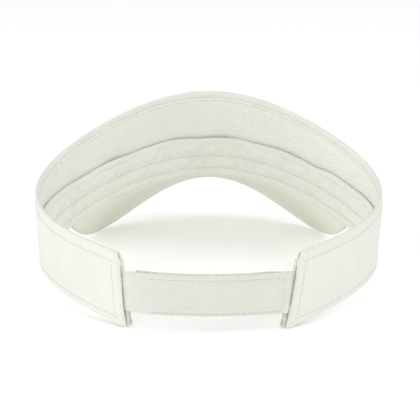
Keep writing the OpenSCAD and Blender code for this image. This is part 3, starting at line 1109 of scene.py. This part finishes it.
def make_tape(name, side, radius, near, far, material, seed):
    """Tape sewn flat on a strap, with a slightly uneven pile."""
    turns = np.linspace(near, far, 90)
    height = np.linspace(STRAP_BASE + 2, STRAP_TOP - 2, 26)[None, :]
    centre, normal = strap_station(radius + TAPE / 2 + 0 * turns, turns)
    pile = 0.06 * unevenness(turns[:, None] * 2, height, 1.6, seed)
    loops = thicken(stack_line(pile, height), TAPE * 0.9 + 0 * turns)
    points = centre[:, None] + normal[:, None] * loops[..., :1]
    points[..., 2] = loops[..., 1]
    points, faces = mirror(points.reshape(-1, 3), tube_faces(len(turns), loops.shape[1]), side)
    return make_mesh(name, points, faces, 0 * points, material)


def over_root(piece, side, body):
    """Bakes the placement of a strap into its mesh."""
    f"{side_name(side)}_arm"
    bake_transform(piece)


def make_straps():
    for body, strap in {"outer_strap": OUTER_STRAP, "inner_strap": INNER_STRAP}.items():
        cloth = make_strap(f"{body}_cloth", **strap)
        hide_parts(body, f"{body}_root")
        over_root(cloth, strap["side"], body)
    outer_rows = strap_rows("outer_strap_stitches", 1, **OUTER_STRAP)
    stand_in(outer_rows, "thread", "outer_strap", "outer_strap_stitching")
    inner_rows = strap_rows("inner_strap_stitches", -1, **INNER_STRAP)
    stand_in(inner_rows, "thread", "inner_strap", "inner_strap_stitching")
    hook_base = make_tape("hook_base", -1, HOOK_RADIUS, 2 - HOLD_TURN, HOLD_TURN, HOOK_NYLON, 61)
    hook = join("hook_tape_nylon", [hook_base, hook_posts(-1)])
    stand_in(hook, "tape", "outer_strap", "hook_tape")
    loop = make_tape("loop_tape_nylon", 1, LOOP_RADIUS, -18, HOLD_TURN, LOOP_NYLON, 62)
    stand_in(loop, "tape", "inner_strap", "loop_tape")


# ---------------------------------------------------------------- the whole object

for word, direction in SIDES.items():
    make_panel(f"outer_panel_{word}", direction)
    make_lining(f"lining_{word}_cloth", direction)
    make_sweatband(f"sweatband_{word}_cloth", direction)
    make_padding(f"padding_{word}_felt", direction)
    make_band_threads(direction)
    make_end_row(f"end_stitches_{word}", direction)
make_stiffener()
make_bill()
make_straps()


# ---------------------------------------------------------------- floor, light and camera


# The floor glows a little, as a studio's light table does.
FLOOR_GLOW = 0.22
SKY_STRENGTH = 0.69
LIGHT_SIZE = 1.2
LIGHT_AIM = (0, 0, 0.03)
# Place of each light in metres, and its power in watts.
LIGHTS = {
    "key": ((-0.9, -1.9, 0.75), 7.5),
    "fill": ((0.9, -1.9, 0.75), 3.5),
    "left": ((-1.9, -0.2, 0.9), 11),
    "right": ((1.6, -0.3, 1.2), 9),
}
CAMERA_TILT = 13.5
CAMERA_DISTANCE = 1.0
CAMERA_AIM = (0.0007, 0.0, 0.040)
CAMERA_LENS = 162.4


def make_floor():
    mesh = bpy.data.meshes.new("floor")
    size = 4.0
    corners = [(-size, -size, 0), (size, -size, 0), (size, size, 0), (-size, size, 0)]
    mesh.from_pydata(corners, [], [(0, 1, 2, 3)])
    made, tree, surface = new_material("floor_paper")
    tone = scaled(tree, noise_node(tree, space_place(tree), 3.0), 0.9, 0.92)
    tree.links.new(tone, surface.inputs["Base Color"])
    surface.inputs["Roughness"].default_value = 1.0
    surface.inputs["Specular IOR Level"].default_value = 0.0
    surface.inputs["Emission Color"].default_value = (1.0, 1.0, 1.0, 1)
    surface.inputs["Emission Strength"].default_value = FLOOR_GLOW
    mesh.materials.append(made)
    floor = bpy.data.objects.new("floor", mesh)
    bpy.context.scene.collection.objects.link(floor)


def area_light(name, place, power):
    data = bpy.data.lights.new(name, "AREA")
    data.shape = "DISK"
    data.size = LIGHT_SIZE
    data.energy = power
    light = bpy.data.objects.new(name, data)
    light.location = place
    way = np.array(LIGHT_AIM) - np.array(place)
    light.rotation_euler = Vector(way).to_track_quat("-Z", "Y").to_euler()
    bpy.context.scene.collection.objects.link(light)


def make_camera():
    data = bpy.data.cameras.new("camera")
    data.lens = CAMERA_LENS
    data.sensor_width = 36.0
    camera = bpy.data.objects.new("camera", data)
    back = float(cos(CAMERA_TILT)) * CAMERA_DISTANCE
    rise = float(sin(CAMERA_TILT)) * CAMERA_DISTANCE
    camera.location = (CAMERA_AIM[0], CAMERA_AIM[1] - back, CAMERA_AIM[2] + rise)
    camera.rotation_euler = (math.radians(90 - CAMERA_TILT), 0, 0)
    bpy.context.scene.collection.objects.link(camera)
    bpy.context.scene.camera = camera


def make_world():
    world = bpy.data.worlds.new("studio")
    world.use_nodes = True
    sky = world.node_tree.nodes["Background"]
    sky.inputs["Color"].default_value = (1.0, 1.0, 1.0, 1)
    sky.inputs["Strength"].default_value = SKY_STRENGTH
    bpy.context.scene.world = world
    bpy.context.scene.view_settings.view_transform = "Standard"


make_floor()
for light_name, (light_place, light_power) in LIGHTS.items():
    area_light(light_name, light_place, light_power)
make_camera()
make_world()
